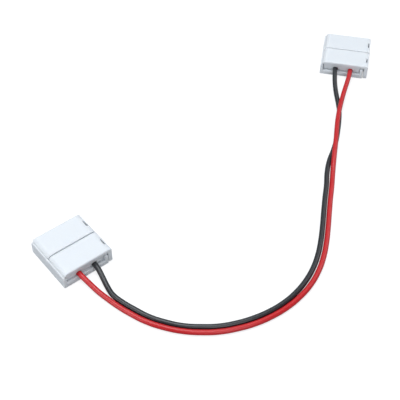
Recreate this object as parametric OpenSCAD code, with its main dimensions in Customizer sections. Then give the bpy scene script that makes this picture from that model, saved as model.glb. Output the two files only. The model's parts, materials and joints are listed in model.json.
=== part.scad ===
// Pair of clips for a two-wire light strip, joined by a red and a black lead.
// Each clip has a base with two stamped contacts and two flaps on a living hinge.
// The frame's origin is the middle of clip a's underside, with X across the clip,
// Y from the wire end to the strip end and Z up.

/* [Clip] */
// Width of a clip, from the hinge side to the latch side
clip_w = 14.5; // [14.5:0.1:17]
// Length of a clip, from the wire end to the strip end
clip_l = 15; // [14.5:0.5:20]
// Height of a closed clip
clip_h = 4.6; // [4.4:0.1:5.6]
// Width of the gap between the two flaps
flap_gap = 0.35; // [0.25:0.05:0.6]
// How far the gap's middle lies from the wire end
flap_split = 7.5; // [7.4:0.1:8]

/* [Strip] */
// Width of the lane that takes the strip
lane_w = 10.4; // [10.2:0.1:10.4]
// Height of the floor under the strip
lane_floor = 1; // [0.8:0.05:1.1]
// Height of the slot that the strip enters
slot_h = 1.25; // [1.1:0.05:1.5]
// Room between the lane's floor and a contact's tip
strip_gap = 0.45; // [0.3:0.05:0.6]
// Room beside the lane and over its rail
lane_room = 0.05; // [0.03:0.01:0.1]
// Length of the lead-in at the lane's mouth
lead_in = 0.5; // [0.3:0.1:0.8]
// Depth of the lead-in in the lane's floor
lead_in_h = 0.3; // [0.2:0.05:0.4]

/* [Base] */
// Height of the deck that carries the contacts and the leads
deck_h = 1.35; // [1.3:0.05:1.45]
// Rounding of the deck's front edge, which shows as a ledge
ledge_round = 0.35; // [0.2:0.05:0.4]
// Thickness of the wall on the hinge side
hinge_wall = 0.85; // [0.75:0.05:0.95]
// Room between the hinge wall and a flap's plate
hinge_wall_room = 0.25; // [0.2:0.05:0.35]
// Thickness of the wall on the latch side
latch_wall = 0.9; // [0.8:0.05:1]
// Room between the latch wall and a flap's plate
latch_wall_room = 0.4; // [0.3:0.05:0.7]
// Rounding of the two walls' ends
post_round = 0.55; // [0.3:0.05:0.6]
// Room between the base and the flaps' skirts
skirt_room = 0.25; // [0.22:0.01:0.3]
// Thickness of the rib between the contacts
rib_t = 0.6; // [0.4:0.1:0.9]
// Room between the rib and a flap's plate
rib_room = 1.05; // [0.9:0.05:1.3]
// Room between the rib and the ends of the leads
rib_end_room = 0.3; // [0.2:0.1:0.6]

/* [Hinge] */
// Radius of the round bead that a flap turns on
bead_r = 0.27; // [0.26:0.01:0.3]
// Room between the bead and a flap's seat
bead_room = 0.03; // [0.02:0.01:0.05]
// Thickness of the neck that carries the bead
neck_t = 0.44; // [0.36:0.02:0.48]
// Distance of the hinge axis from the clip's side
hinge_x = 0.25; // [0.25:0.01:0.28]
// Depth of the hinge axis below the clip's top
hinge_drop = 1.1; // [1:0.05:1.15]

/* [Flaps] */
// Thickness of a flap's top plate
plate_t = 1.05; // [0.9:0.05:1.1]
// Thickness of the skirt on the latch side
skirt_t = 1.15; // [1:0.05:1.25]
// Height of the skirt's lower edge
skirt_z = 0.15; // [0.1:0.05:0.3]
// How far a flap's rounding stands in from the clip's side
flap_in = 0.4; // [0.38:0.01:0.42]
// Radius of a flap's rounding on the hinge side
hinge_round = 1.6; // [1.4:0.1:1.8]
// Height of that rounding
hinge_round_h = 0.8; // [0.7:0.05:0.85]
// Rounding of a flap's corners on the hinge side, seen from above
plan_round = 0.4; // [0.2:0.1:0.6]
// Rounding of the skirt's corners at the clip's ends, seen from above
skirt_round = 0.15; // [0.1:0.05:0.3]
// Width of the sloping shoulder on the latch side
shoulder_w = 1.55; // [1.2:0.05:2]
// Height of the sloping shoulder on the latch side
shoulder_h = 0.42; // [0.3:0.02:0.5]
// Rounding where the shoulder meets the skirt
corner_r = 0.15; // [0.1:0.01:0.2]
// Rounding of a flap's outer ends
end_round = 0.4; // [0.2:0.05:0.6]
// Rounding of a flap's edge at the gap
gap_round = 0.2; // [0.1:0.05:0.3]
// How far the wire flap's end stands in from the base's end
front_inset = 0.15; // [0.1:0.05:0.2]
// Room between the front wall over the leads and the deck
foot_room = 0.3; // [0.2:0.05:0.4]
// How far the front wall leans back towards its foot
front_lean = 0.5; // [0.3:0.05:0.6]
// Depth of the front wall's inner face behind the wire end
clamp_l = 1.2; // [1:0.1:1.4]
// Thickness of the flaps' inner walls and ribs
inner_t = 0.6; // [0.4:0.1:0.8]
// Room between the hinge wall and the flaps' inner walls
side_room = 0.15; // [0.12:0.01:0.3]
// Room between the latch wall and the flaps' inner walls as they swing
swing_room = 0.08; // [0.06:0.01:0.2]
// Room under the flaps' inner walls
inside_room = 0.15; // [0.1:0.05:0.2]

/* [Latch] */
// Distance of the wire flap's latch from the wire end
wire_latch = 3.45; // [3:0.05:3.9]
// Distance of the strip flap's latch from the strip end
strip_latch = 3.75; // [3.3:0.05:4.2]
// Width of the slot that frees a latch tongue
slot_w = 0.4; // [0.3:0.05:0.45]
// Length of the slot that frees a latch tongue
slot_l = 2; // [1.6:0.1:2.6]
// Thickness of a latch tongue
tongue_t = 0.4; // [0.35:0.05:0.5]
// Radius of the catch beads
catch_r = 0.24; // [0.2:0.01:0.26]
// How far the base's catch bead stands out
catch_out = 0.13; // [0.08:0.01:0.14]
// Height of the base's catch bead
catch_z = 1.25; // [1.1:0.05:1.4]
// How far below it the tongue's catch bead lies
catch_drop = 0.45; // [0.4:0.01:0.6]
// Room between the catch beads as a flap swings
catch_room = 0.04; // [0.03:0.01:0.06]

/* [Contacts] */
// Thickness of the contact metal
contact_t = 0.3; // [0.2:0.02:0.3]
// Width of a contact's foot
foot_w = 2.6; // [2.2:0.1:3]
// Width of a contact's spring finger
finger_w = 1.7; // [1.4:0.1:2]
// Width of the cut between a finger's two tines
tine_gap = 0.35; // [0.2:0.05:0.5]
// How far the foot reaches from the solder joint's middle towards the lead
foot_lip = 1.2; // [1:0.1:1.3]
// Distance of the stake that holds the foot from the solder joint's middle
stake_in = 2.1; // [2.1:0.1:2.3]
// Distance of the bend where the finger rises from the stake
rise_in = 1.1; // [1.1:0.1:1.3]
// Length of the finger from that bend to its contact point
finger_l = 4.2; // [3.8:0.1:4.6]
// Height of the finger's crown
crown_z = 2.1; // [2:0.05:2.2]
// Length of one leg of a bend
bend = 0.3; // [0.25:0.05:0.35]
// Radius of the stake that holds a contact
stake_r = 0.35; // [0.3:0.05:0.4]
// Radius of the stake's flattened head
head_r = 0.6; // [0.5:0.05:0.7]
// Thickness of the stake's flattened head
head_t = 0.15; // [0.1:0.05:0.2]
// How far the press pads stand back from the contact points
pad_back = 1.2; // [1:0.1:1.4]
// Room round a contact in its pocket
contact_room = 0.05; // [0.03:0.01:0.1]

/* [Leads] */
// Diameter of a lead over its insulation
wire_d = 1.4; // [1.2:0.05:1.4]
// Distance between the two leads where they leave a clip
wire_pitch = 4.6; // [4.4:0.1:4.8]
// Height of a lead's middle over the deck where it leaves a clip
wire_rise = 0.65; // [0.6:0.05:0.7]
// How far the insulation reaches into a clip
wire_in = 1.6; // [1.5:0.1:1.7]
// Room between a lead and the clamp's notch
notch_room = 0.15; // [0.15:0.01:0.2]
// Room between a lead and its notch's foot as the flap swings
notch_swing_room = 0.05; // [0.03:0.01:0.1]
// Straight stretch of a lead outside a clip
lead_out = 0.4; // [0.3:0.1:0.6]
// Radius of one copper strand
strand_r = 0.17; // [0.14:0.01:0.17]
// Length of the bare strands
strand_l = 2.6; // [2.2:0.1:2.8]
// Radius of a solder joint
solder_r = 1.15; // [1:0.05:1.2]
// Distance of a solder joint's middle from the insulation
solder_in = 1.6; // [1.4:0.1:1.8]

/* [Placing] */
// Place of clip b's middle across clip a
clip_b_x = 111.2; // [105:0.1:118]
// Place of clip b's middle along clip a
clip_b_y = 13.2; // [10:0.1:20]
// Turn of clip b
clip_b_angle = -50.1; // [-60:0.1:-40]

/* [Hidden] */
$fn = 48;

white = [0.93, 0.94, 0.97];
tin = [0.78, 0.78, 0.76];
solder_grey = [0.7, 0.71, 0.73];
copper = [0.8, 0.5, 0.32];
red = [0.83, 0.12, 0.13];
black = [0.12, 0.12, 0.13];

// Clip a lies straight on the frame's origin
clip_at = [[0, 0], [clip_b_x, clip_b_y]];
clip_angle = [0, clip_b_angle];

// Hinge line, in a clip's own corner frame
hinge_z = clip_h - hinge_drop;
seat_r = bead_r + bead_room;

// Heights that hang from the flaps' plates
plate_z = clip_h - plate_t;
hinge_wall_h = plate_z - hinge_wall_room;
latch_wall_h = plate_z - latch_wall_room;
rib_h = plate_z - rib_room;

// The base ends short of the skirt, which hangs outside it
skirt_x = clip_w - skirt_t;
base_w = skirt_x - skirt_room;
latch_wall_x = base_w - latch_wall;

// The lane lies against the latch wall, and the leads lie evenly about its middle
lane_x1 = latch_wall_x - lane_room;
lane_x0 = lane_x1 - lane_w;
lane_mid = (lane_x0 + lane_x1) / 2;
rail_h = lane_floor + slot_h - lane_room;

// Leads and strands; of a lead's seven strands one is in the middle and six lie round it
wire_z = deck_h + wire_rise;
strand_ring = 1.96 * strand_r;
bundle_r = strand_ring + strand_r;

// Flap sizes
wire_flap = [front_inset, flap_split - flap_gap / 2];
strip_flap = [flap_split + flap_gap / 2, clip_l];
inner_x0 = hinge_wall + side_room;
inner_swing = latch_wall_x - swing_room - hinge_x;
foot_z = deck_h + foot_room;
inner_wall_z = max(rib_h, rail_h, wire_z + bundle_r) + inside_room;
press_z = crown_z + inside_room;
skirt_edge = 0.1;
arc_steps = 8;

// Places along a contact, from the lead's end to the contact point and the finger's hooked end
solder_y = wire_in + solder_in;
foot_y = solder_y - foot_lip;
stake_y = solder_y + stake_in;
rise_y = stake_y + rise_in;
tip_y = rise_y + finger_l;
tip_end = tip_y + 3 * bend;
deck_l = rise_y + 2 * bend;

// Contact heights, as centre lines of the metal
pocket_z = deck_h - contact_t;
metal_z = pocket_z + contact_t / 2;
tip_z = lane_floor + strip_gap + contact_t / 2;

// Clearances and overlaps that only tidy the solids' joins
groove_room = 0.02;
joint_eps = 0.01;
root = 0.1;
past = 1;

function arc(c, r, a0, a1, n = arc_steps) =
    [for (i = [0:n]) c + r * [cos(a0 + (a1 - a0) * i / n), sin(a0 + (a1 - a0) * i / n)]];

// Middle of a lead across the clip: lane 0 is on the hinge side, lane 1 on the latch side
function wire_x(lane) = lane_mid + (lane - 0.5) * wire_pitch;

// Middles of the two latches along the clip
latch_ys = [wire_latch, clip_l - strip_latch];

// A point of clip k's corner frame in the part's frame
function on_clip(k, p) =
    let (x = p[0] - clip_w / 2, y = p[1] - clip_l / 2, c = cos(clip_angle[k]), s = sin(clip_angle[k]))
    [clip_at[k][0] + c * x - s * y, clip_at[k][1] + s * x + c * y, p[2]];

module place(k) {
    translate([clip_at[k][0], clip_at[k][1], 0])
        rotate(clip_angle[k])
            translate([-clip_w / 2, -clip_l / 2, 0])
                children();
}

// A section drawn in X and Z, run along Y
module along_y(y0, y1) {
    translate([0, y1, 0])
        rotate([90, 0, 0])
            linear_extrude(y1 - y0)
                children();
}

// A side view drawn in Y and Z, run along X
module along_x(x0, x1) {
    translate([x0, 0, 0])
        rotate([90, 0, 90])
            linear_extrude(x1 - x0)
                children();
}

module rod_y(x, z, r, y0, y1) {
    along_y(y0, y1)
        translate([x, z])
            circle(r);
}

module block(from, to) {
    translate(from)
        cube(to - from);
}

// Side view of a wall or flap from y0 to y1, with its two upper corners rounded
module side_view(y0, y1, r0, r1, top) {
    polygon(concat(
        [[y0, 0], [y1, 0]],
        arc([y1 - r1, top - r1], r1, 0, 90),
        arc([y0 + r0, top - r0], r0, 90, 180)));
}

// Latch
// The base's bead and the tongue's bead pass each other on the swing with catch_room to spare
lug_x = base_w + catch_out - catch_r;
nub_z = catch_z - catch_drop;
lug_swing = norm([lug_x - hinge_x, catch_z - hinge_z]);
nub_swing = lug_swing + 2 * catch_r + catch_room;
nub_x = hinge_x + sqrt(nub_swing * nub_swing - (nub_z - hinge_z) * (nub_z - hinge_z));
tongue_x = skirt_x + tongue_t;

// Base
module base(k) {
    color(white)
        place(k) {
            difference() {
                union() {
                    block([0, ledge_round, 0], [base_w, clip_l, lane_floor]);
                    deck();
                    hinge_side();
                    latch_side();
                    lane_rail();
                    block([lane_mid - rib_t / 2, wire_in + rib_end_room, lane_floor],
                          [lane_mid + rib_t / 2, tip_y - pad_back - rib_end_room, rib_h]);
                }
                for (lane = [0, 1]) {
                    rod_y(wire_x(lane), wire_z, wire_d / 2 + groove_room, -past, wire_in + groove_room);
                    contact_pocket(lane);
                }
                mouth_chamfer();
            }
            for (lane = [0, 1])
                stake(lane);
        }
}

// Deck under the contacts; its rounded front edge is the ledge that the leads lie on
module deck() {
    along_x(0, base_w)
        polygon(concat(
            [[0, 0], [deck_l, 0], [deck_l, deck_h]],
            arc([ledge_round, deck_h - ledge_round], ledge_round, 90, 180)));
}

module hinge_side() {
    along_x(0, hinge_wall)
        side_view(0, clip_l, post_round, post_round, hinge_wall_h);
    intersection() {
        union() {
            block([hinge_x - neck_t / 2, 0, hinge_wall_h - root], [hinge_x + neck_t / 2, clip_l, hinge_z]);
            rod_y(hinge_x, hinge_z, bead_r, 0, clip_l);
        }
        along_x(hinge_x - past, hinge_x + past)
            side_view(0, clip_l, post_round, post_round, hinge_z + bead_r + joint_eps);
    }
}

module latch_side() {
    round_r = latch_wall * 0.4;
    top = latch_wall_h - round_r;
    intersection() {
        along_y(0, clip_l)
            polygon(concat(
                [[latch_wall_x, 0], [base_w, 0]],
                arc([base_w - round_r, top], round_r, 0, 90),
                arc([latch_wall_x + round_r, top], round_r, 90, 180)));
        along_x(latch_wall_x - past, base_w + past)
            side_view(0, clip_l, post_round, post_round, latch_wall_h + joint_eps);
    }
    for (y = latch_ys)
        rod_y(lug_x, catch_z, catch_r, y - slot_l / 2, y + slot_l / 2);
}

// Rail that guides the strip on the hinge side, with a lead-in at the mouth
module lane_rail() {
    linear_extrude(rail_h)
        polygon([
            [hinge_wall - root, deck_l], [lane_x0, deck_l], [lane_x0, clip_l - 2 * lead_in],
            [lane_x0 - lead_in, clip_l], [hinge_wall - root, clip_l]]);
}

module contact_pocket(lane) {
    half = foot_w / 2 + contact_room;
    block([wire_x(lane) - half, foot_y - contact_room, pocket_z],
          [wire_x(lane) + half, deck_l + past, clip_h]);
}

module mouth_chamfer() {
    along_x(lane_x0 - lead_in, lane_x1)
        polygon([
            [clip_l - lead_in, lane_floor], [clip_l + root, lane_floor - lead_in_h],
            [clip_l + root, lane_floor + root], [clip_l - lead_in, lane_floor + root]]);
}

// Stake through a contact, melted over it into a flat head
module stake(lane) {
    translate([wire_x(lane), stake_y, pocket_z - root]) {
        cylinder(r = stake_r, h = root + contact_t + head_t);
        translate([0, 0, root + contact_t])
            cylinder(r = head_r, h = head_t);
    }
}

// Flaps
// Outline of a closed flap across the clip, from the hinge round the top and down the skirt
module flap_section() {
    round_turn = acos(1 - hinge_round_h / hinge_round);
    round_x = flap_in + hinge_round * sin(round_turn);
    shoulder_r = (shoulder_w * shoulder_w + shoulder_h * shoulder_h) / (2 * shoulder_h);
    shoulder_end = asin((shoulder_w - corner_r) / shoulder_r);
    corner_z = clip_h - shoulder_r + shoulder_r * cos(shoulder_end) - corner_r;
    polygon(concat(
        [[hinge_x + seat_r * cos(10), plate_z], [hinge_x + seat_r * cos(45), hinge_z + seat_r * sin(45)]],
        arc([round_x, clip_h - hinge_round], hinge_round, 90 + round_turn, 90),
        arc([clip_w - shoulder_w, clip_h - shoulder_r], shoulder_r, 90, 90 - shoulder_end),
        arc([clip_w - corner_r, corner_z], corner_r, 60, 0, 3),
        [[clip_w, skirt_z + skirt_edge], [clip_w - skirt_edge, skirt_z], [skirt_x + skirt_edge, skirt_z],
         [skirt_x, skirt_z + skirt_edge], [skirt_x, plate_z]]));
}

// Plan of a flap with its corners rounded: r0 and r1 are the skirt's, at y0 and y1
module flap_plan(y0, y1, r0, r1) {
    polygon(concat(
        arc([flap_in + plan_round, y0 + plan_round], plan_round, 180, 270),
        arc([clip_w - r0, y0 + r0], r0, 270, 360),
        arc([clip_w - r1, y1 - r1], r1, 0, 90),
        arc([flap_in + plan_round, y1 - plan_round], plan_round, 90, 180)));
}

// Body of a flap from span[0] to span[1], with the roundings of its top and of its skirt at both ends
module flap_shell(span, top_r, skirt_r) {
    intersection() {
        along_y(span[0], span[1])
            flap_section();
        along_x(0, clip_w)
            side_view(span[0], span[1], top_r[0], top_r[1], clip_h);
        linear_extrude(clip_h)
            flap_plan(span[0], span[1], skirt_r[0], skirt_r[1]);
    }
}

// Farthest place across the clip that swings past the latch wall from height z
function swing_x(z) = hinge_x + sqrt(inner_swing * inner_swing - (hinge_z - z) * (hinge_z - z));

// Wall under a flap's plate, whose latch end follows the swing
module inner_wall(y0, y1, z) {
    mid_z = (z + plate_z) / 2;
    along_y(y0, y1)
        polygon([
            [inner_x0, z], [swing_x(z), z], [swing_x(mid_z), mid_z], [swing_x(plate_z), plate_z],
            [swing_x(plate_z), plate_z + joint_eps], [inner_x0, plate_z + joint_eps]]);
}

// The slot frees a tongue on the skirt's inner side, and the tongue carries the catch bead
module latch_slot(y) {
    block([tongue_x, y - slot_l / 2, -past], [tongue_x + slot_w, y + slot_l / 2, clip_h + past]);
}

module latch_nub(y) {
    intersection() {
        rod_y(nub_x, nub_z, catch_r, y - slot_l / 2 + tongue_t / 2, y + slot_l / 2 - tongue_t / 2);
        block([0, 0, 0], [tongue_x - tongue_t / 2, clip_l, clip_h]);
    }
}

module hinge_seat() {
    rod_y(hinge_x, hinge_z, seat_r, -past, clip_l + past);
}

// The front wall's outer face, cut back from the end of the plate's rounding to the wall's foot
module front_slope() {
    top = clip_h - end_round;
    leant = front_inset + front_lean;
    along_x(inner_x0, latch_wall_x)
        polygon([[-past, top], [front_inset, top], [leant, foot_z], [leant, 0], [-past, 0]]);
}

// Notch that clamps a lead from above; its hinge side widens to the foot, which swings past the lead
module wire_notch(lane) {
    half = wire_d / 2 + notch_room;
    x = wire_x(lane);
    swing = norm([x - hinge_x, wire_z - hinge_z]) - wire_d / 2 - notch_swing_room;
    foot_x = hinge_x + sqrt(swing * swing - (foot_z - hinge_z) * (foot_z - hinge_z));
    side_x = min(foot_x, x - half);
    rod_y(x, wire_z, half, -past, clamp_l + past);
    along_y(-past, clamp_l + past)
        polygon([
            [x - half, wire_z], [side_x, foot_z], [side_x, foot_z - root],
            [2 * x - side_x, foot_z - root], [2 * x - side_x, foot_z], [x + half, wire_z]]);
}

module wire_cover(k) {
    stake_wall_y = stake_y - head_r - rib_end_room;
    color(white)
        place(k)
            difference() {
                union() {
                    flap_shell(wire_flap, [end_round, gap_round], [skirt_round, gap_round]);
                    inner_wall(wire_flap[0], clamp_l, foot_z);
                    inner_wall(wire_flap[1] - inner_t, wire_flap[1], inner_wall_z);
                    inner_wall(stake_wall_y - inner_t, stake_wall_y, inner_wall_z);
                    latch_nub(latch_ys[0]);
                }
                front_slope();
                hinge_seat();
                latch_slot(latch_ys[0]);
                for (lane = [0, 1])
                    wire_notch(lane);
            }
}

module strip_cover(k) {
    color(white)
        place(k)
            difference() {
                union() {
                    flap_shell(strip_flap, [gap_round, end_round], [gap_round, skirt_round]);
                    inner_wall(strip_flap[0], strip_flap[0] + inner_t, inner_wall_z);
                    inner_wall(strip_flap[1] - inner_t, strip_flap[1], lane_floor + slot_h);
                    for (lane = [0, 1])
                        press_pad(lane);
                    latch_nub(latch_ys[1]);
                }
                hinge_seat();
                latch_slot(latch_ys[1]);
            }
}

// Pad that holds a contact's finger down on the strip
module press_pad(lane) {
    block([wire_x(lane) - finger_w / 2, tip_y - pad_back, press_z],
          [wire_x(lane) + finger_w / 2, tip_y - pad_back + inner_t, plate_z + joint_eps]);
}

// Contacts
// Centre line of the metal, from the foot up over the crown to the contact point and its hook
function contact_line() =
    let (top = crown_z - contact_t / 2, rise = top - metal_z)
    [[foot_y, metal_z], [rise_y - bend, metal_z], [rise_y, metal_z + rise * 0.13],
     [rise_y + bend, metal_z + rise * 0.53], [rise_y + 2 * bend, metal_z + rise * 0.87],
     [rise_y + 3 * bend, top], [rise_y + 5 * bend, top - contact_t / 10],
     [tip_y - 1.5 * bend, tip_z + contact_t / 6], [tip_y, tip_z],
     [tip_y + bend, tip_z + bend / 3], [tip_y + 2 * bend, tip_z + bend]];

function unit(v) = v / norm(v);
function left_of(v) = [-v[1], v[0]];

// Step from a bend's centre point to the metal's face, at mid angle between its two legs
function mitre(p, i) =
    let (a = unit(p[max(i, 1)] - p[max(i, 1) - 1]),
         j = min(i + 1, len(p) - 1),
         b = unit(p[j] - p[j - 1]),
         m = left_of(unit(a + b)))
    m / (m * left_of(a));

function folded(p, t) = concat(
    [for (i = [0:len(p) - 1]) p[i] - mitre(p, i) * t / 2],
    [for (i = [len(p) - 1:-1:0]) p[i] + mitre(p, i) * t / 2]);

// Plan of a contact: a broad foot with clipped corners, then the narrower finger
module contact_plan() {
    f = foot_w / 2;
    g = finger_w / 2;
    y0 = foot_y - root;
    polygon([
        [-f, y0 + bend], [-f + bend, y0], [f - bend, y0], [f, y0 + bend],
        [f, rise_y - 2 * bend], [g, rise_y - bend / 2], [g, tip_end],
        [-g, tip_end], [-g, rise_y - bend / 2], [-f, rise_y - 2 * bend]]);
}

module contact(k, lane) {
    x = wire_x(lane);
    color(tin)
        place(k)
            difference() {
                intersection() {
                    along_x(x - foot_w / 2 - past, x + foot_w / 2 + past)
                        polygon(folded(contact_line(), contact_t));
                    translate([x, 0, 0])
                        linear_extrude(clip_h)
                            contact_plan();
                }
                translate([x, stake_y, 0])
                    cylinder(r = stake_r + groove_room, h = clip_h);
                block([x - tine_gap / 2, rise_y + 4 * bend, 0], [x + tine_gap / 2, tip_end, clip_h]);
            }
}

// Wire ends
module bundle() {
    circle(strand_r, $fn = 24);
    for (i = [0:5])
        rotate(60 * i)
            translate([strand_ring, 0])
                circle(strand_r, $fn = 24);
}

module strands(k, lane) {
    color(copper)
        place(k)
            along_y(wire_in, wire_in + strand_l)
                translate([wire_x(lane), wire_z])
                    bundle();
}

module solder(k, lane) {
    x = wire_x(lane);
    half = solder_r + past;
    color(solder_grey)
        place(k)
            difference() {
                translate([x, solder_y, deck_h])
                    sphere(solder_r, $fn = 96);
                block([x - half, solder_y - half, deck_h - half], [x + half, solder_y + half, deck_h]);
                rod_y(x, wire_z, bundle_r + joint_eps, wire_in, wire_in + 2 * strand_l);
            }
}

// Leads
// Points between the clips: each lead drops to the surface, and the red one rides over the black near clip b
red_route = [
    [-2.4, -9.6, 1.8], [-2, -12, 1.2], [-1.6, -14.4, 0.8], [-1.1, -17, 0.7], [-0.4, -20.4, 0.7],
    [0.7, -24.2, 0.7], [2.3, -28.4, 0.7], [4.5, -32.2, 0.7], [7.3, -35.8, 0.7], [10.6, -38.9, 0.7],
    [14.2, -41.5, 0.7], [18.2, -43.5, 0.7], [22.4, -45, 0.7], [26.9, -45.9, 0.7], [31.6, -46.2, 0.7],
    [36.1, -45.8, 0.7], [40.8, -44.7, 0.7], [45.3, -42.8, 0.7], [49.3, -40.4, 0.7], [52.9, -37.7, 0.7],
    [57, -34.2, 0.7], [61.2, -30.4, 0.7], [65, -27, 0.7], [68.7, -23.8, 0.7], [72.4, -20.4, 0.85],
    [75.7, -17.4, 1.7], [79, -14.5, 2.2], [82.2, -11.7, 2.2], [85.4, -8.8, 2.2], [88.9, -5.8, 2.2],
    [92.4, -3.1, 2.2], [96, -0.5, 2.1], [99.5, 1.9, 2], [103, 4.2, 2]];
black_route = [
    [1.8, -9.6, 1.8], [1.4, -11.8, 1.2], [0.9, -14.3, 0.8], [0.6, -16.8, 0.7], [1.1, -20, 0.7],
    [2.2, -23.7, 0.7], [3.7, -27.8, 0.7], [5.8, -31.4, 0.7], [8.4, -34.8, 0.7], [11.6, -37.7, 0.7],
    [15, -40.2, 0.7], [18.8, -42.1, 0.7], [22.8, -43.5, 0.7], [27.1, -44.4, 0.7], [31.6, -44.7, 0.7],
    [35.9, -44.3, 0.7], [40.3, -43.2, 0.7], [44.6, -41.4, 0.7], [48.5, -39.1, 0.7], [52, -36.5, 0.7],
    [56, -33.1, 0.7], [60.2, -29.3, 0.7], [64, -25.9, 0.7], [67.7, -22.7, 0.7], [71.3, -19.3, 0.7],
    [74.9, -16.5, 0.7], [78.7, -14.2, 0.7], [82.3, -11.8, 0.7], [85.7, -9.1, 0.7], [89.2, -6.1, 0.7],
    [92.2, -3.2, 0.7], [94.3, -0.7, 0.7], [96, 1.6, 0.9], [97.8, 4, 1.2], [99.8, 6.4, 1.6],
    [101.8, 8.5, 1.9]];

// A lead's first and last points lie straight in the clips' grooves
function lead_path(lane_a, lane_b, route) = concat(
    [on_clip(0, [wire_x(lane_a), wire_in, wire_z]), on_clip(0, [wire_x(lane_a), -lead_out, wire_z])],
    route,
    [on_clip(1, [wire_x(lane_b), -lead_out, wire_z]), on_clip(1, [wire_x(lane_b), wire_in, wire_z])]);

// Direction of a route at point i, and the level line across it
function heading(p, i) =
    let (a = p[max(i - 1, 0)], b = p[min(i + 1, len(p) - 1)])
    unit(b - a);

function ring(p, i, r, sides) =
    let (t = i == 0 ? unit(p[1] - p[0]) : i == len(p) - 1 ? unit(p[i] - p[i - 1]) : heading(p, i),
         across = unit(cross([0, 0, 1], t)),
         up = cross(t, across))
    [for (s = [0:sides - 1]) let (turn = 360 * (s + 0.5) / sides) p[i] + r * (cos(turn) * across + sin(turn) * up)];

module sweep(path, r, sides = 8) {
    n = len(path);
    points = [for (i = [0:n - 1]) each ring(path, i, r, sides)];
    walls = [for (i = [0:n - 2], s = [0:sides - 1])
        let (q = (s + 1) % sides)
        [i * sides + s, i * sides + q, (i + 1) * sides + q, (i + 1) * sides + s]];
    near_end = [for (s = [sides - 1:-1:0]) s];
    far_end = [for (s = [0:sides - 1]) (n - 1) * sides + s];
    polyhedron(points, concat([near_end], walls, [far_end]), convexity = 6);
}

module red_wire() {
    color(red)
        sweep(lead_path(0, 1, red_route), wire_d / 2);
}

module black_wire() {
    color(black)
        sweep(lead_path(1, 0, black_route), wire_d / 2);
}

base(0);  // clip_a_base
strip_cover(0);  // clip_a_strip_cover
wire_cover(0);  // clip_a_wire_cover
contact(0, 0);  // clip_a_red_contact
contact(0, 1);  // clip_a_black_contact
solder(0, 0);  // clip_a_red_solder
solder(0, 1);  // clip_a_black_solder
strands(0, 0);  // clip_a_red_strands
strands(0, 1);  // clip_a_black_strands
base(1);  // clip_b_base
strip_cover(1);  // clip_b_strip_cover
wire_cover(1);  // clip_b_wire_cover
contact(1, 1);  // clip_b_red_contact
contact(1, 0);  // clip_b_black_contact
solder(1, 1);  // clip_b_red_solder
solder(1, 0);  // clip_b_black_solder
strands(1, 1);  // clip_b_red_strands
strands(1, 0);  // clip_b_black_strands
red_wire();
black_wire();
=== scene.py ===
"""A light strip connector: two white hinged clips joined by a red and a black lead."""

import json
import logging
import math
from dataclasses import dataclass, field
from enum import Enum
from typing import Any

import bmesh
import bpy
from mathutils import Matrix, Vector


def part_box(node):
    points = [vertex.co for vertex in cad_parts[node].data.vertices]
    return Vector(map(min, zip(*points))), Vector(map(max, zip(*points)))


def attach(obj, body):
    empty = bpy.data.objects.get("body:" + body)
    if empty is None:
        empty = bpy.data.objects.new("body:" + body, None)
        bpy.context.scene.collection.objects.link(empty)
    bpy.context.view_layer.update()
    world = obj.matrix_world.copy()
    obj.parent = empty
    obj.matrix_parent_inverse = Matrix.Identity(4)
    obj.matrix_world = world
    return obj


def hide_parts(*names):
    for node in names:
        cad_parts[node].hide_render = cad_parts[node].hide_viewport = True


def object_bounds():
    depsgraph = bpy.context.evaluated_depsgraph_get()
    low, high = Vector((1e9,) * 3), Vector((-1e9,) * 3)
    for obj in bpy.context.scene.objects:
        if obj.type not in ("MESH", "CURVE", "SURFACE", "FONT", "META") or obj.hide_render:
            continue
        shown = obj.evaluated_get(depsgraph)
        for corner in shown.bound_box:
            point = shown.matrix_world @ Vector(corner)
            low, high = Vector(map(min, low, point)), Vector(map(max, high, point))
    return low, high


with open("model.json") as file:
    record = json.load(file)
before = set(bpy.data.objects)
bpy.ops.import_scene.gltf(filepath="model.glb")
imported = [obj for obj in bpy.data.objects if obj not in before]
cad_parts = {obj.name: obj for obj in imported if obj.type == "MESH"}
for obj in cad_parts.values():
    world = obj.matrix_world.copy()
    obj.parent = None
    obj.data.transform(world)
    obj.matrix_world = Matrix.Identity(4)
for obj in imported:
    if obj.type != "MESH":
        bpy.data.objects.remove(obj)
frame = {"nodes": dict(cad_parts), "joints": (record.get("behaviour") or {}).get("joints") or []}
CAD_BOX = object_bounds()

MM = 0.001
UP = Vector((0, 0, 1))
LOG = logging.getLogger("strip_connector")

Colour = tuple[float, float, float]
Point = tuple[float, float, float]


class Polarity(Enum):
    """Which of the two leads a piece belongs to."""

    RED = "red"
    BLACK = "black"


class Flap(Enum):
    """Which of a clip's two flaps a piece belongs to."""

    STRIP = "strip"
    WIRE = "wire"


class Slot(Enum):
    """The record's material slots."""

    PLASTIC = "white_plastic"
    TIN = "tinned_brass"
    SOLDER = "solder"
    COPPER = "copper"
    RED = "red_insulation"
    BLACK = "black_insulation"


def placed(name: str, data: Any) -> bpy.types.Object:
    """Makes an object at the origin and adds it to the scene.

    Args:
        name: The object's name.
        data: Its mesh, curve, light or camera data.

    Returns:
        The object.
    """
    thing = bpy.data.objects.new(name, data)
    bpy.context.collection.objects.link(thing)
    return thing


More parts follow.
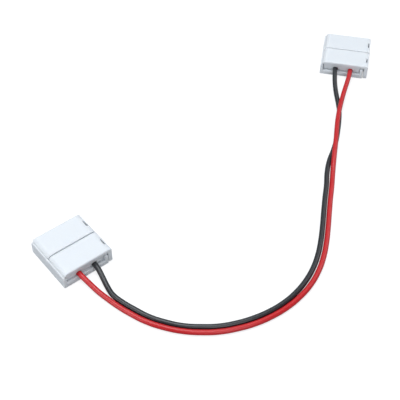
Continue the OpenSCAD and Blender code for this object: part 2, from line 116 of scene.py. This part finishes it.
@dataclass(frozen=True)
class Wiring:
    """Adds nodes to one shader or geometry node tree and wires them up."""

    tree: bpy.types.NodeTree

    def feed(self, node: bpy.types.Node, inputs: dict[str | int, Any]) -> None:
        """Gives a node's inputs what they need.

        Args:
            node: The node.
            inputs: For each input, by name or number, an output socket to link to it or a value to set.
        """
        for name, value in inputs.items():
            if isinstance(value, bpy.types.NodeSocket):
                self.tree.links.new(value, node.inputs[name])
            else:
                node.inputs[name].default_value = value

    def add(self, kind: str, inputs: dict[str | int, Any] | None = None, **properties: Any) -> bpy.types.Node:
        """Adds a node, sets its properties and then feeds its inputs.

        Args:
            kind: The node's type name.
            inputs: What to feed to its inputs, as for feed.
            **properties: Properties of the node, such as operation.

        Returns:
            The new node.
        """
        node = self.tree.nodes.new(kind)
        for name, value in properties.items():
            setattr(node, name, value)
        self.feed(node, inputs or {})
        return node

    def maths(self, operation: str, first: Any, second: Any) -> bpy.types.NodeSocket:
        """Adds a Math node over two numbers or output sockets and returns its output."""
        return self.add("ShaderNodeMath", {0: first, 1: second}, operation=operation).outputs[0]


def grain_group() -> bpy.types.NodeTree:
    """Makes the shader group for the fine grain and slow unevenness that every finish here shares.

    Returns:
        The node group. It takes a Vector, two scales and a Stretch, which draws the Streaks out along Y
        where it is under 1, and puts out a slow Tone mask, a fine Height and the Streaks.
    """
    group = bpy.data.node_groups.new("surface_grain", "ShaderNodeTree")
    sockets = group.interface
    sockets.new_socket("Vector", in_out="INPUT", socket_type="NodeSocketVector")
    for name in ("Grain Scale", "Tone Scale", "Stretch"):
        sockets.new_socket(name, in_out="INPUT", socket_type="NodeSocketFloat")
    for name in ("Tone", "Height", "Streaks"):
        sockets.new_socket(name, in_out="OUTPUT", socket_type="NodeSocketFloat")
    wiring = Wiring(group)
    given = wiring.add("NodeGroupInput").outputs
    outlet = wiring.add("NodeGroupOutput")
    squeeze = wiring.add("ShaderNodeCombineXYZ", {"X": 1.0, "Y": given["Stretch"], "Z": 1.0})
    stretched = wiring.add("ShaderNodeVectorMath", {0: given["Vector"], 1: squeeze.outputs[0]},
                           operation="MULTIPLY")
    noises = (("Tone", given["Vector"], "Tone Scale", 2.0),
              ("Height", given["Vector"], "Grain Scale", 3.0),
              ("Streaks", stretched.outputs[0], "Grain Scale", 4.0))
    for output, vector, scale, detail in noises:
        noise = wiring.add("ShaderNodeTexNoise", {"Vector": vector, "Scale": given[scale], "Detail": detail},
                           noise_dimensions="3D")
        wiring.feed(outlet, {output: noise.outputs[0]})
    return group


@dataclass(frozen=True)
class Finish:
    """One finish of the part, made as a material on Object coordinates.

    Attributes:
        slot: The record's slot that it dresses.
        colour: Base colour where the slow unevenness is lowest.
        shade: Base colour where the slow unevenness is highest.
        roughness: Middle roughness.
        roughness_swing: How far the roughness varies over the surface.
        metallic: Whether it is metal, as 0 or 1.
        specular: Gloss of what isn't metal.
        grain_scale: Scale of the fine grain and of the streaks.
        tone_scale: Scale of the slow unevenness.
        stretch: Scale of the streaks along Y, as a share of that across them.
        bump: Strength of the grain's relief.
        bump_distance: Depth of the grain's relief.
        subsurface: Share of the light that scatters inside, as in white plastic.
        subsurface_scale: Depth of that scattering.
        subsurface_radius: Share of that depth for red, green and blue.
        use_streaks: Whether streaks make the relief and the sheen, as on rolled metal.
    """

    slot: Slot
    colour: Colour
    shade: Colour
    roughness: float
    roughness_swing: float
    metallic: float = 0.0
    specular: float = 0.5
    grain_scale: float = 3000.0
    tone_scale: float = 200.0
    stretch: float = 1.0
    bump: float = 0.06
    bump_distance: float = 0.02 * MM
    subsurface: float = 0.0
    subsurface_scale: float = 1.0 * MM
    subsurface_radius: Colour = (1.0, 0.97, 0.93)
    use_streaks: bool = False

    def material(self, group: bpy.types.NodeTree) -> bpy.types.Material:
        """Makes the material.

        Args:
            group: The shared grain group.

        Returns:
            The material.
        """
        material = bpy.data.materials.new(self.slot.value)
        material.use_nodes = True
        wiring = Wiring(material.node_tree)
        coords = wiring.add("ShaderNodeTexCoord")
        grain = wiring.add("ShaderNodeGroup", {
            "Vector": coords.outputs["Object"], "Grain Scale": self.grain_scale,
            "Tone Scale": self.tone_scale, "Stretch": self.stretch}, node_tree=group).outputs
        tone = wiring.add("ShaderNodeMix", {
            "Factor": grain["Tone"], "A": (*self.colour, 1.0), "B": (*self.shade, 1.0)}, data_type="RGBA")
        sheen = grain["Streaks" if self.use_streaks else "Tone"]
        swing = wiring.maths("MULTIPLY", sheen, self.roughness_swing)
        relief = wiring.add("ShaderNodeBump", {
            "Height": grain["Streaks" if self.use_streaks else "Height"],
            "Strength": self.bump, "Distance": self.bump_distance})
        wiring.feed(material.node_tree.nodes["Principled BSDF"], {
            "Base Color": tone.outputs["Result"],
            "Roughness": wiring.maths("ADD", swing, self.roughness - self.roughness_swing / 2),
            "Normal": relief.outputs["Normal"],
            "Metallic": self.metallic,
            "Specular IOR Level": self.specular,
            "Subsurface Weight": self.subsurface,
            "Subsurface Scale": self.subsurface_scale,
            "Subsurface Radius": self.subsurface_radius})
        return material


FINISHES = (
    Finish(Slot.PLASTIC, colour=(0.80, 0.83, 0.86), shade=(0.78, 0.81, 0.84), roughness=0.34,
           roughness_swing=0.10, grain_scale=2600.0, tone_scale=160.0, bump=0.12, subsurface=0.55),
    Finish(Slot.TIN, colour=(0.72, 0.71, 0.69), shade=(0.62, 0.61, 0.58), roughness=0.28,
           roughness_swing=0.18, metallic=1.0, tone_scale=500.0, stretch=0.08, bump=0.15,
           use_streaks=True),
    Finish(Slot.SOLDER, colour=(0.66, 0.67, 0.69), shade=(0.55, 0.56, 0.58), roughness=0.2,
           roughness_swing=0.2, metallic=1.0, grain_scale=2500.0, tone_scale=900.0, bump=0.3),
    Finish(Slot.COPPER, colour=(0.80, 0.42, 0.24), shade=(0.70, 0.33, 0.17), roughness=0.25,
           roughness_swing=0.15, metallic=1.0, grain_scale=9000.0, tone_scale=700.0, bump=0.1),
    Finish(Slot.RED, colour=(0.60, 0.008, 0.013), shade=(0.53, 0.006, 0.010), roughness=0.34,
           roughness_swing=0.06, specular=0.6),
    Finish(Slot.BLACK, colour=(0.010, 0.012, 0.015), shade=(0.016, 0.018, 0.022), roughness=0.36,
           roughness_swing=0.06, specular=0.7),
)


@dataclass
class Palette:
    """All the part's materials, made once."""

    materials: dict[Slot, bpy.types.Material] = field(default_factory=dict)

    def make(self) -> None:
        """Makes each finish's material round one shared grain group."""
        group = grain_group()
        for finish in FINISHES:
            self.materials[finish.slot] = finish.material(group)

    def dress(self, piece: bpy.types.Object, slot: Slot) -> None:
        """Gives a piece its finish and names the record's slot on it.

        Args:
            piece: A mesh or curve object.
            slot: The finish to use.
        """
        piece.data.materials.clear()
        piece.data.materials.append(self.materials[slot])


@dataclass(frozen=True)
class Surfacing:
    """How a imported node's loose triangles are joined to whole faces and its sharp edges rounded.

    Attributes:
        radius: Width of the rounding, or 0 on a solid that has its radii in its own shape.
        segments: Number of faces round an edge.
        sharp_angle: Angle between two faces from which their edge is rounded.
        flat_angle: Angle under which triangles are joined to one flat face.
        join_distance: Distance under which corners are joined.
    """

    radius: float = 0.0
    segments: int = 2
    sharp_angle: float = math.radians(28)
    flat_angle: float = math.radians(0.5)
    join_distance: float = 0.001 * MM

    def apply(self, piece: bpy.types.Object) -> None:
        """Adds the modifiers that join the loose triangles and, where it has a radius, round the edges.

        Args:
            piece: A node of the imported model. Its own mesh stays as it is.
        """
        weld = piece.modifiers.new("weld", "WELD")
        weld.merge_threshold = self.join_distance
        flat = piece.modifiers.new("flat faces", "DECIMATE")
        flat.decimate_type = "DISSOLVE"
        flat.angle_limit = self.flat_angle
        if self.radius > 0:
            bevel = piece.modifiers.new("stamped edges", "BEVEL")
            bevel.width = self.radius
            bevel.segments = self.segments
            bevel.limit_method = "ANGLE"
            bevel.angle_limit = self.sharp_angle


@dataclass
class Clip:
    """One clip: its base, two flaps, two contacts and the ends of two leads.

    Attributes:
        name: The clip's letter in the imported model's names.
        palette: The part's materials.
        moulded: Surfacing of the base and flaps, whose radii are in the solids.
        stamped: Surfacing of the contacts.
        strand_length: Length of bare strands past a lead's insulation.
        insulation_in: Length of insulation inside the clip.
    """

    name: str
    palette: Palette
    moulded: Surfacing = Surfacing()
    stamped: Surfacing = Surfacing(radius=0.03 * MM)
    strand_length: float = 2.6 * MM
    insulation_in: float = 1.6 * MM

    def node(self, piece: str) -> bpy.types.Object:
        """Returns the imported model's node of that piece of this clip."""
        return frame["nodes"][f"clip_{self.name}_{piece}"]

    @property
    def outward(self) -> Vector:
        """Direction in which the leads leave the clip, which is also its hinges' axis."""
        joint = next(row for row in frame["joints"] if row["name"] == f"clip_{self.name}_wire_hinge")
        return Vector(joint["axis"]).normalized()

    def strands_middle(self, polarity: Polarity) -> Vector:
        """Middle of a lead's bare strands."""
        low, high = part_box(f"clip_{self.name}_{polarity.value}_strands")
        return (Vector(low) + Vector(high)) / 2

    def insulation_end(self, polarity: Polarity) -> Vector:
        """Point where a lead's insulation ends inside the clip."""
        return self.strands_middle(polarity) + self.outward * (self.strand_length / 2)

    def exit_point(self, polarity: Polarity) -> Vector:
        """Point where a lead passes the clip's wire end."""
        return self.insulation_end(polarity) + self.outward * self.insulation_in

    def dress_node(self, piece: str, surfacing: Surfacing, slot: Slot) -> None:
        """Gives a node its surfacing and its finish.

        Args:
            piece: The node's name after the clip's letter.
            surfacing: How its faces and edges are made.
            slot: The finish to use.
        """
        node = self.node(piece)
        surfacing.apply(node)
        self.palette.dress(node, slot)
        LOG.info("dressed %s", node.name)

    def build(self) -> None:
        """Dresses the mouldings and contacts, and builds the strands and solder joints."""
        for moulding in ("base", *(f"{flap.value}_cover" for flap in Flap)):
            self.dress_node(moulding, self.moulded, Slot.PLASTIC)
        for polarity in Polarity:
            self.dress_node(f"{polarity.value}_contact", self.stamped, Slot.TIN)
            StrandBundle(self, polarity).build()
            SolderJoint(self, polarity).build()


@dataclass(frozen=True)
class StrandTree:
    """The Geometry Nodes tree of a twisted bundle of strands that stands on the origin along Z.

    Attributes:
        outer_strands: Number of strands round the middle one.
        steps: Number of points along a strand.
        sides: Number of faces round a strand.
        fray_scale: Scale of the noise that bends the strands.
    """

    outer_strands: int = 6
    steps: int = 14
    sides: int = 12
    fray_scale: float = 900.0

    def straight_strands(self, wiring: Wiring, given: Any) -> bpy.types.NodeSocket:
        """Adds the nodes of the strands' straight middle lines.

        Args:
            wiring: The tree's wiring.
            given: The tree's inputs.

        Returns:
            The lines' geometry.
        """
        tip = wiring.add("ShaderNodeCombineXYZ", {"Z": given["Length"]})
        line = wiring.add("GeometryNodeCurvePrimitiveLine", {"End": tip.outputs[0]})
        stepped = wiring.add("GeometryNodeResampleCurve", {
            "Curve": line.outputs["Curve"], "Count": self.steps})
        ring = wiring.add("GeometryNodeMeshCircle", {
            "Vertices": self.outer_strands, "Radius": given["Ring Radius"]})
        centre = wiring.add("GeometryNodePoints")
        places = wiring.add("GeometryNodeJoinGeometry", {"Geometry": ring.outputs["Mesh"]})
        wiring.feed(places, {"Geometry": centre.outputs[0]})
        copies = wiring.add("GeometryNodeInstanceOnPoints", {
            "Points": places.outputs["Geometry"], "Instance": stepped.outputs["Curve"]})
        real = wiring.add("GeometryNodeRealizeInstances", {"Geometry": copies.outputs["Instances"]})
        return real.outputs["Geometry"]

    def twisted(self, wiring: Wiring, given: Any, lines: bpy.types.NodeSocket) -> bpy.types.NodeSocket:
        """Adds the nodes that twist the lines round Z and bend them a little.

        Args:
            wiring: The tree's wiring.
            given: The tree's inputs.
            lines: The straight lines' geometry.

        Returns:
            The twisted lines' geometry.
        """
        position = wiring.add("GeometryNodeInputPosition").outputs[0]
        height = wiring.add("ShaderNodeSeparateXYZ", {0: position}).outputs["Z"]
        turn = wiring.add("ShaderNodeVectorRotate", {
            "Vector": position, "Angle": wiring.maths("MULTIPLY", height, given["Twist"])},
            rotation_type="Z_AXIS")
        noise = wiring.add("ShaderNodeTexNoise", {
            "Vector": position, "W": given["Seed"], "Scale": self.fray_scale}, noise_dimensions="4D")
        centred = wiring.add("ShaderNodeVectorMath", {0: noise.outputs["Color"], 1: (0.5, 0.5, 0.5)},
                             operation="SUBTRACT")
        fray = wiring.add("ShaderNodeVectorMath", {0: centred.outputs[0], "Scale": given["Fray"]},
                          operation="SCALE")
        return wiring.add("GeometryNodeSetPosition", {
            "Geometry": lines, "Position": turn.outputs[0], "Offset": fray.outputs[0]}).outputs[0]

    def tubes(self, wiring: Wiring, given: Any, lines: bpy.types.NodeSocket) -> bpy.types.NodeSocket:
        """Adds the nodes that give the lines their thickness and material.

        Args:
            wiring: The tree's wiring.
            given: The tree's inputs.
            lines: The twisted lines' geometry.

        Returns:
            The finished strands' geometry.
        """
        profile = wiring.add("GeometryNodeCurvePrimitiveCircle", {
            "Resolution": self.sides, "Radius": given["Strand Radius"]})
        tube = wiring.add("GeometryNodeCurveToMesh", {
            "Curve": lines, "Profile Curve": profile.outputs["Curve"], "Fill Caps": True})
        whole = wiring.add("GeometryNodeRealizeInstances", {"Geometry": tube.outputs[0]})
        return wiring.add("GeometryNodeSetMaterial", {
            "Geometry": whole.outputs[0], "Material": given["Material"]}).outputs[0]

    def make(self) -> bpy.types.NodeTree:
        """Makes the tree.

        Returns:
            The node tree, with inputs for the sizes, the twist, the seed and the material.
        """
        group = bpy.data.node_groups.new("twisted_strands", "GeometryNodeTree")
        sockets = group.interface
        sockets.new_socket("Geometry", in_out="OUTPUT", socket_type="NodeSocketGeometry")
        for name in ("Length", "Ring Radius", "Strand Radius", "Twist", "Fray", "Seed"):
            sockets.new_socket(name, in_out="INPUT", socket_type="NodeSocketFloat")
        sockets.new_socket("Material", in_out="INPUT", socket_type="NodeSocketMaterial")
        wiring = Wiring(group)
        given = wiring.add("NodeGroupInput").outputs
        lines = self.twisted(wiring, given, self.straight_strands(wiring, given))
        wiring.add("NodeGroupOutput", {"Geometry": self.tubes(wiring, given, lines)})
        return group


def baked(carrier: bpy.types.Object, name: str) -> bpy.types.Object:
    """Turns an object's evaluated geometry into a plain mesh object and removes the carrier.

    Args:
        carrier: An object with a Geometry Nodes modifier.
        name: The new object's name.

    Returns:
        The new object.
    """
    evaluated = carrier.evaluated_get(bpy.context.evaluated_depsgraph_get())
    mesh = bpy.data.meshes.new_from_object(evaluated)
    mesh.name = name
    carrier.modifiers.clear()
    bpy.data.objects.remove(carrier)
    return placed(name, mesh)


@dataclass
class StrandBundle:
    """Seven twisted copper strands, bare from the insulation to past the solder joint.

    Attributes:
        clip: The clip that holds them.
        polarity: The lead that they belong to.
        ring_radius: Distance of the outer strands from the middle one.
        strand_radius: Radius of a strand.
        twist: Turn of the bundle, in radians for each metre.
        fray: How far the strands stray from an even twist.
    """

    clip: Clip
    polarity: Polarity
    ring_radius: float = 0.32 * MM
    strand_radius: float = 0.16 * MM
    twist: float = 420.0
    fray: float = 0.03 * MM

    def place(self) -> Matrix:
        """Finds how the standing bundle lies in the clip, from the insulation's end inwards.

        Returns:
            The matrix that lays it there. Its axes are left-handed, so it turns the faces inside out.
        """
        inward = -self.clip.outward
        turn = Matrix((inward.cross(UP), UP, inward)).transposed().to_4x4()
        return Matrix.Translation(self.clip.insulation_end(self.polarity)) @ turn

    def build(self) -> bpy.types.Object:
        """Builds the bundle in the clip's frame in place of its plain solid.

        Returns:
            The strands' object.
        """
        name = f"clip_{self.clip.name}_{self.polarity.value}_strands"
        carrier = placed("strand_carrier", bpy.data.meshes.new("strand_carrier"))
        modifier = carrier.modifiers.new("strands", "NODES")
        group = bpy.data.node_groups.get("twisted_strands") or StrandTree().make()
        modifier.node_group = group
        values = {
            "Length": self.clip.strand_length, "Ring Radius": self.ring_radius,
            "Strand Radius": self.strand_radius, "Twist": self.twist, "Fray": self.fray,
            "Seed": float(sum(name.encode())), "Material": self.clip.palette.materials[Slot.COPPER],
        }
        for socket in group.interface.items_tree:
            if socket.name in values:
                modifier[socket.identifier] = values[socket.name]
        carrier.update_tag()
        piece = baked(carrier, f"twisted_{name}")
        piece.data.transform(self.place())
        piece.data.flip_normals()
        piece.data.shade_smooth()
        self.clip.palette.dress(piece, Slot.COPPER)
        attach(piece, "clips")
        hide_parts(name)
        LOG.info("built %s", piece.name)
        return piece


@dataclass
class SolderJoint:
    """A solder mound that wets the contact's foot and climbs over the strands.

    Attributes:
        clip: The clip that holds it.
        polarity: The lead that it holds.
        rings: Number of rings of faces from the crown to the rim.
        spokes: Number of faces round a ring.
        fill: Share of the plain solid's height that the mound takes, which is also its radius.
        draw_in: Share by which the rim draws in between its four fullest sides.
        dome_reach: Reach of the dome, as a share of the rim's.
        dome_rise: Rise of the dome, as a share of the mound's height.
        skirt_rise: Rise that the hollow skirt would have in the middle, as a share of the height.
        skirt_on_dome: Share of the skirt that is added to the dome, for a soft join.
        lumps: Number of uneven lumps round the mound.
        lump_rise: Rise of the lumps, as a share of the height.
        lump_turn: Turn of the lumps round the mound, in radians.
    """

    clip: Clip
    polarity: Polarity
    rings: int = 22
    spokes: int = 64
    fill: float = 0.985
    draw_in: float = 0.07
    dome_reach: float = 0.74
    dome_rise: float = 0.86
    skirt_rise: float = 0.6
    skirt_on_dome: float = 0.24
    lumps: int = 3
    lump_rise: float = 0.018
    lump_turn: float = 1.1

    def height(self, reach: float, angle: float) -> float:
        """Height of the mound as a share of its full height.

        Args:
            reach: Distance from the middle, from 0 to 1 at the rim.
            angle: Direction round the mound, in radians from across the lead.

        Returns:
            The share, from 0 at the rim to 1 at the crown.
        """
        if reach >= 1.0:
            return 0.0
        dome = self.dome_rise * math.sqrt(max(0.0, 1.0 - (reach / self.dome_reach) ** 2))
        skirt = self.skirt_rise * (1.0 - reach) ** 2
        lump = self.lump_rise * math.sin(self.lumps * angle + self.lump_turn) * math.sin(math.pi * reach)
        return min(1.0, max(dome + skirt * self.skirt_on_dome, skirt) + lump)

    def mound(self, low: Vector, high: Vector) -> bpy.types.Mesh:
        """Makes the mound's closed mesh, ring by ring from the crown, with its faces outwards.

        Args:
            low: Lowest corner of the plain solid's box.
            high: Highest corner of that box.

        Returns:
            The mesh.
        """
        middle = (low + high) / 2
        along = -self.clip.outward
        across = along.cross(UP)
        tall = (high.z - low.z) * self.fill
        mesh = bmesh.new()
        crown = mesh.verts.new((middle.x, middle.y, low.z + tall))
        previous: list[bmesh.types.BMVert] = []
        for ring in range(1, self.rings + 1):
            reach = ring / self.rings
            row = []
            for spoke in range(self.spokes):
                angle = math.tau * spoke / self.spokes
                edge = tall * (1.0 - self.draw_in * math.sin(2 * angle) ** 2)
                spot = middle + (across * math.cos(angle) + along * math.sin(angle)) * edge * reach
                row.append(mesh.verts.new((spot.x, spot.y, low.z + tall * self.height(reach, angle))))
            for spoke in range(self.spokes):
                after = (spoke + 1) % self.spokes
                if previous:
                    mesh.faces.new((previous[spoke], row[spoke], row[after], previous[after]))
                else:
                    mesh.faces.new((crown, row[spoke], row[after]))
            previous = row
        mesh.faces.new(previous[::-1])
        data = bpy.data.meshes.new("mound")
        mesh.to_mesh(data)
        mesh.free()
        data.shade_smooth()
        return data

    def build(self) -> bpy.types.Object:
        """Builds the mound in place of its plain solid.

        Returns:
            The mound's object.
        """
        name = f"clip_{self.clip.name}_{self.polarity.value}_solder"
        low, high = (Vector(corner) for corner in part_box(name))
        data = self.mound(low, high)
        data.name = f"mound_{name}"
        piece = placed(data.name, data)
        self.clip.palette.dress(piece, Slot.SOLDER)
        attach(piece, "clips")
        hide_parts(name)
        LOG.info("built %s", piece.name)
        return piece


# The leads' routes from clip to clip, point for point as in the part's source, in millimetres.
RED_ROUTE: tuple[Point, ...] = (
    (-2.4, -9.6, 1.8), (-2, -12, 1.2), (-1.6, -14.4, 0.8), (-1.1, -17, 0.7), (-0.4, -20.4, 0.7),
    (0.7, -24.2, 0.7), (2.3, -28.4, 0.7), (4.5, -32.2, 0.7), (7.3, -35.8, 0.7), (10.6, -38.9, 0.7),
    (14.2, -41.5, 0.7), (18.2, -43.5, 0.7), (22.4, -45, 0.7), (26.9, -45.9, 0.7), (31.6, -46.2, 0.7),
    (36.1, -45.8, 0.7), (40.8, -44.7, 0.7), (45.3, -42.8, 0.7), (49.3, -40.4, 0.7), (52.9, -37.7, 0.7),
    (57, -34.2, 0.7), (61.2, -30.4, 0.7), (65, -27, 0.7), (68.7, -23.8, 0.7), (72.4, -20.4, 0.85),
    (75.7, -17.4, 1.7), (79, -14.5, 2.2), (82.2, -11.7, 2.2), (85.4, -8.8, 2.2), (88.9, -5.8, 2.2),
    (92.4, -3.1, 2.2), (96, -0.5, 2.1), (99.5, 1.9, 2), (103, 4.2, 2))
BLACK_ROUTE: tuple[Point, ...] = (
    (1.8, -9.6, 1.8), (1.4, -11.8, 1.2), (0.9, -14.3, 0.8), (0.6, -16.8, 0.7), (1.1, -20, 0.7),
    (2.2, -23.7, 0.7), (3.7, -27.8, 0.7), (5.8, -31.4, 0.7), (8.4, -34.8, 0.7), (11.6, -37.7, 0.7),
    (15, -40.2, 0.7), (18.8, -42.1, 0.7), (22.8, -43.5, 0.7), (27.1, -44.4, 0.7), (31.6, -44.7, 0.7),
    (35.9, -44.3, 0.7), (40.3, -43.2, 0.7), (44.6, -41.4, 0.7), (48.5, -39.1, 0.7), (52, -36.5, 0.7),
    (56, -33.1, 0.7), (60.2, -29.3, 0.7), (64, -25.9, 0.7), (67.7, -22.7, 0.7), (71.3, -19.3, 0.7),
    (74.9, -16.5, 0.7), (78.7, -14.2, 0.7), (82.3, -11.8, 0.7), (85.7, -9.1, 0.7), (89.2, -6.1, 0.7),
    (92.2, -3.2, 0.7), (94.3, -0.7, 0.7), (96, 1.6, 0.9), (97.8, 4, 1.2), (99.8, 6.4, 1.6),
    (101.8, 8.5, 1.9))


@dataclass
class Lead:
    """One lead: a vinyl-covered wire that lies loose between the two clips.

    Attributes:
        polarity: Which of the two leads it is.
        route: Its route between the clips, in millimetres.
        length: Its real length from one insulation's end to the other. It is not used.
        slot: The insulation's finish.
        palette: The part's materials.
        diameter: Diameter of the insulation.
        step_out: Length by which it runs straight on past a clip's wire end.
        sides_detail: Detail of the round section.
        steps: Number of steps from one point of the route to the next.
    """

    polarity: Polarity
    route: tuple[Point, ...]
    length: float
    slot: Slot
    palette: Palette
    diameter: float = 1.4 * MM
    step_out: float = 0.4 * MM
    sides_detail: int = 7
    steps: int = 10

    def points(self, first: Clip, last: Clip) -> list[Vector]:
        """The route with its ends straight in the clips' grooves.

        Args:
            first: The clip at the route's start.
            last: The clip at its end.

        Returns:
            The points in metres.
        """
        start = [first.insulation_end(self.polarity),
                 first.exit_point(self.polarity) + first.outward * self.step_out]
        end = [last.exit_point(self.polarity) + last.outward * self.step_out,
               last.insulation_end(self.polarity)]
        return start + [Vector(point) * MM for point in self.route] + end

    def build(self, first: Clip, last: Clip) -> bpy.types.Object:
        """Args:
            first: The clip at the route's start.
            last: The clip at its end.

        Returns:
            The lead's object.
        """
        name = f"{self.polarity.value}_wire"
        curve = bpy.data.curves.new(f"{self.polarity.value}_lead", "CURVE")
        curve.dimensions = "3D"
        curve.bevel_depth = self.diameter / 2
        curve.bevel_resolution = self.sides_detail
        curve.resolution_u = self.steps
        curve.use_fill_caps = True
        points = self.points(first, last)
        spline = curve.splines.new("BEZIER")
        spline.bezier_points.add(len(points) - 1)
        for knot, point in zip(spline.bezier_points, points):
            knot.co = point
            knot.handle_left_type = "AUTO"
            knot.handle_right_type = "AUTO"
        piece = placed(f"{self.polarity.value}_lead", curve)
        self.palette.dress(piece, self.slot)
        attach(piece, "clips")
        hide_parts(name)
        LOG.info("built %s", piece.name)
        return piece


@dataclass(frozen=True)
class Softbox:
    """A square soft light that faces the part, with its place and size in metres and power in watts."""

    name: str
    place: Point
    size: float
    power: float
    colour: Colour = (0.93, 0.965, 1.0)

    def add(self, aim: Vector) -> None:
        """Adds the light.

        Args:
            aim: The point that it faces.
        """
        data = bpy.data.lights.new(self.name, "AREA")
        data.shape = "SQUARE"
        data.size = self.size
        data.energy = self.power
        data.color = self.colour
        light = placed(self.name, data)
        light.location = self.place
        light.rotation_euler = (aim - Vector(self.place)).to_track_quat("-Z", "Y").to_euler()


SOFTBOXES = (
    Softbox("key", place=(0.0, 0.20, 0.92), size=0.7, power=6.1),
    Softbox("back", place=(0.40, 0.55, 0.60), size=0.45, power=0.4),
    Softbox("left", place=(-0.8, 0.15, 0.32), size=0.5, power=2.3),
    Softbox("right", place=(0.75, -0.10, 0.50), size=0.5, power=1.5),
    Softbox("front", place=(-0.18, -0.64, 0.50), size=0.5, power=2.0),
)


@dataclass
class Studio:
    """The plain pale floor, the soft lights and the camera at the photograph's view.

    Attributes:
        camera_at: The camera's place, in millimetres.
        view_right: Direction that points right in the picture.
        view_ahead: Direction in which the camera looks.
        focal_share: Focal length, as a share of the picture's width.
        sensor: Width of the camera's sensor, in millimetres.
        clip_start: Distance from which the camera sees.
        floor_size: Length of the floor's sides.
        floor_colour: Base colour of the floor.
        floor_glow: Strength of the glow that only the camera sees.
        floor_roughness: Roughness of the floor.
        floor_specular: Gloss of the floor.
        sky_colour: Colour of the light from all round.
        sky_strength: Strength of that light.
    """

    camera_at: Point = (-64.07, -128.90, 172.23)
    view_right: Point = (0.778358, -0.627776, 0.007514)
    view_ahead: Point = (0.431818, 0.526632, -0.732251)
    focal_share: float = 871.1 / 400.0
    sensor: float = 36.0
    clip_start: float = 1.0 * MM
    floor_size: float = 3.0
    floor_colour: Colour = (0.42, 0.423, 0.427)
    floor_glow: float = 0.7
    floor_roughness: float = 0.9
    floor_specular: float = 0.1
    sky_colour: Colour = (0.93, 0.96, 1.0)
    sky_strength: float = 0.20

    def add_camera(self) -> None:
        """Adds the camera, with the photograph's place, direction and focal length."""
        right = Vector(self.view_right).normalized()
        ahead = Vector(self.view_ahead).normalized()
        up = right.cross(ahead)
        data = bpy.data.cameras.new("camera")
        data.sensor_width = self.sensor
        data.lens = self.focal_share * self.sensor
        data.clip_start = self.clip_start
        camera = placed("camera", data)
        turn = Matrix((right, up, -ahead)).transposed().to_4x4()
        camera.matrix_world = Matrix.Translation(Vector(self.camera_at) * MM) @ turn
        bpy.context.scene.camera = camera

    def add_floor(self) -> None:
        """Adds the floor, with a glow that only the camera sees, which keeps it white in soft light."""
        half = self.floor_size / 2
        corners = [(-half, -half, 0), (half, -half, 0), (half, half, 0), (-half, half, 0)]
        mesh = bpy.data.meshes.new("floor")
        mesh.from_pydata(corners, [], [(0, 1, 2, 3)])
        floor = placed("floor", mesh)
        material = bpy.data.materials.new("floor")
        material.use_nodes = True
        wiring = Wiring(material.node_tree)
        seen = wiring.add("ShaderNodeLightPath").outputs["Is Camera Ray"]
        wiring.feed(material.node_tree.nodes["Principled BSDF"], {
            "Base Color": (*self.floor_colour, 1.0),
            "Roughness": self.floor_roughness,
            "Specular IOR Level": self.floor_specular,
            "Emission Color": (1.0, 1.0, 1.0, 1.0),
            "Emission Strength": wiring.maths("MULTIPLY", seen, self.floor_glow)})
        mesh.materials.append(material)

    def build(self) -> None:
        """Adds the camera, floor, sky and lights."""
        scene = bpy.context.scene
        scene.view_settings.view_transform = "Standard"
        self.add_camera()
        self.add_floor()
        world = bpy.data.worlds.new("sky")
        world.use_nodes = True
        Wiring(world.node_tree).feed(world.node_tree.nodes["Background"], {
            "Color": (*self.sky_colour, 1.0), "Strength": self.sky_strength})
        scene.world = world
        low, high = CAD_BOX
        aim = (Vector(low) + Vector(high)) / 2
        for softbox in SOFTBOXES:
            softbox.add(aim)


def main() -> None:
    """Builds the studio, the leads and the clips, in that order."""
    logging.basicConfig(level=logging.INFO, format="%(message)s")
    palette = Palette()
    palette.make()
    Studio().build()
    clip_a = Clip("a", palette)
    clip_b = Clip("b", palette)
    Lead(Polarity.RED, RED_ROUTE, 154.5 * MM, Slot.RED, palette).build(clip_a, clip_b)
    Lead(Polarity.BLACK, BLACK_ROUTE, 151.0 * MM, Slot.BLACK, palette).build(clip_a, clip_b)
    for clip in (clip_a, clip_b):
        clip.build()


if __name__ == "__main__":
    main()
